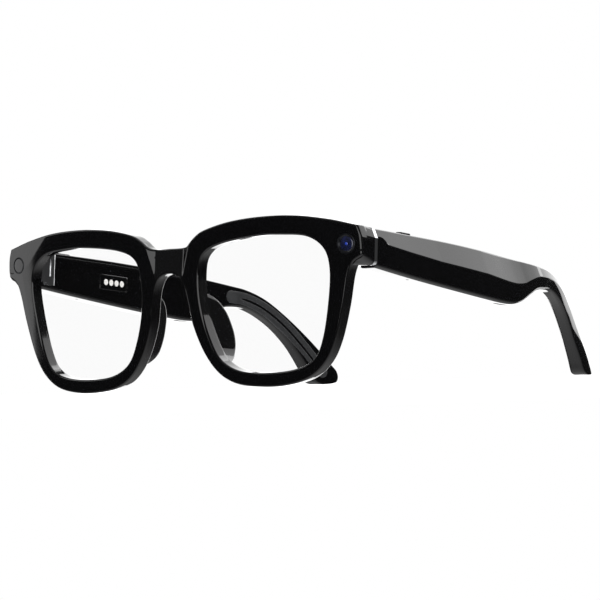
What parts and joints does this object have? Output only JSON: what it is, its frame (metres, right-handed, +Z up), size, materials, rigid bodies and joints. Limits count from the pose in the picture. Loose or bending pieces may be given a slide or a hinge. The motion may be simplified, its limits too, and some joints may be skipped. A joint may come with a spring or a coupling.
{
  "type": "smart glasses",
  "caption": "Full-rim camera glasses with clear lenses, folding electronic temples with curved ear hooks, a capture light and top keys.",
  "frame": {"origin": "middle of the box on the surface that the glasses stand on, resting on the rims and the ear tips", "axes": "+Z up, +Y from the front back towards the ear tips, +X towards the wearer's left"},
  "size_m": [0.146, 0.1468, 0.0522],
  "materials": {
    "glossy_black": "polished injection-moulded black",
    "soft_black": "matte soft-touch",
    "clear_lens": "clear, anti-reflective",
    "bright_metal": "polished plated metal",
    "steel": "machined stainless steel",
    "camera_glass": "coated camera cover glass",
    "dark_glass": "smoked indicator window",
    "black_metal": "black anodised",
    "contact_metal": "bright plated contact",
    "board_green": "solder-masked circuit board",
    "flex_amber": "polyimide flexible circuit",
    "cell_foil": "foil pouch cell",
    "speaker_black": "speaker box",
    "mesh_grey": "fine woven acoustic mesh",
    "led_yellow": "light-emitting chip",
    "switch_white": "tact switch body"
  },
  "bodies": {
    "front": {"front_frame": "glossy_black", "brow_cover": "glossy_black", "nose_pad_left": "glossy_black", "nose_pad_right": "glossy_black", "endpiece_cover_left": "glossy_black", "endpiece_cover_right": "glossy_black", "lens_left": "clear_lens", "lens_right": "clear_lens", "trim_plate_left": "bright_metal", "trim_plate_right": "bright_metal", "camera_bezel": "bright_metal", "hinge_front_leaf_left": "bright_metal", "hinge_front_leaf_right": "bright_metal", "hinge_pin_left": "steel", "hinge_pin_right": "steel", "hinge_front_screws": "steel", "camera_window": "camera_glass", "camera_barrel": "black_metal", "led_bezel": "black_metal", "led_window": "dark_glass", "camera_board": "board_green", "led_board": "board_green", "led_chip": "led_yellow", "brow_flex": "flex_amber"},
    "temple_left": {"temple_shell_left": "glossy_black", "temple_cover_left": "glossy_black", "hinge_temple_leaf_left": "steel", "hinge_temple_screws_left": "steel", "ear_core_left": "steel", "circuit_board_left": "board_green", "temple_flex_left": "flex_amber", "battery_left": "cell_foil", "speaker_left": "speaker_black", "microphone_left": "speaker_black", "speaker_mesh_left": "mesh_grey", "ear_grip_left": "soft_black", "touch_sensor": "flex_amber", "button_switch": "switch_white"},
    "temple_right": {"temple_shell_right": "glossy_black", "temple_cover_right": "glossy_black", "hinge_temple_leaf_right": "steel", "hinge_temple_screws_right": "steel", "ear_core_right": "steel", "circuit_board_right": "board_green", "temple_flex_right": "flex_amber", "battery_right": "cell_foil", "speaker_right": "speaker_black", "microphone_right": "speaker_black", "speaker_mesh_right": "mesh_grey", "ear_grip_right": "soft_black", "power_switch": "switch_white", "charge_base": "glossy_black", "charge_contacts": "contact_metal", "charge_magnets": "steel"},
    "capture_button": {"capture_button": "glossy_black"},
    "power_key": {"power_key": "glossy_black"}
  },
  "joints": [
    {"name": "fold_left", "type": "hinge", "parent": "front", "child": "temple_left", "pos_m": [0.0636, -0.05869, 0.04059], "axis": [0, 0.0962, 0.9954], "range_deg": [0, 86]},
    {"name": "fold_right", "type": "hinge", "parent": "front", "child": "temple_right", "pos_m": [-0.0636, -0.05869, 0.04059], "axis": [0, -0.0962, -0.9954], "range_deg": [0, 68]},
    {"name": "capture_press", "type": "slide", "parent": "temple_left", "child": "capture_button", "axis": [0, -0.0962, -0.9954], "range_m": [0, 0.0004], "stiffness_N_per_m": 900, "springref_m": -0.0003},
    {"name": "power_press", "type": "slide", "parent": "temple_right", "child": "power_key", "axis": [0, -0.0962, -0.9954], "range_m": [0, 0.0004], "stiffness_N_per_m": 900, "springref_m": -0.0003}
  ]
}
